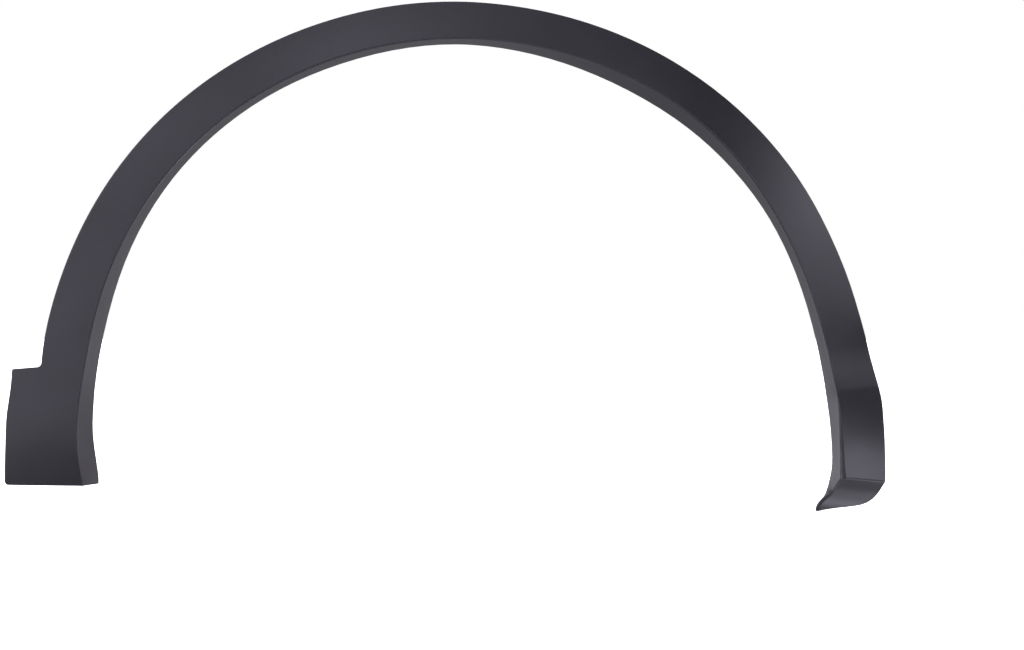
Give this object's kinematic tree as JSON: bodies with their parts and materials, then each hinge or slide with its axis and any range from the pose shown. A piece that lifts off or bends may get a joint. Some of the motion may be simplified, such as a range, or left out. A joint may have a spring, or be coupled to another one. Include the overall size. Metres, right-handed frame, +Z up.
{
  "type": "wheel arch trim",
  "caption": "Moulded charcoal plastic wheel arch trim: an arched channel with a creased outer face, a wheel-side lip, a tabbed foot, and a flared foot folded under at its end.",
  "frame": {"origin": "on the outer face of the clip seat at the crown of the arch", "axes": "+Z up, +X along the car towards the flared foot, +Y towards the body panel, so that the outer face looks to -Y"},
  "size_m": [0.9438, 0.0755, 0.544],
  "materials": {
    "grained_plastic": "fine moulded grain, satin"
  },
  "bodies": {
    "root": {"wheel_arch_trim": "grained_plastic"}
  },
  "joints": []
}
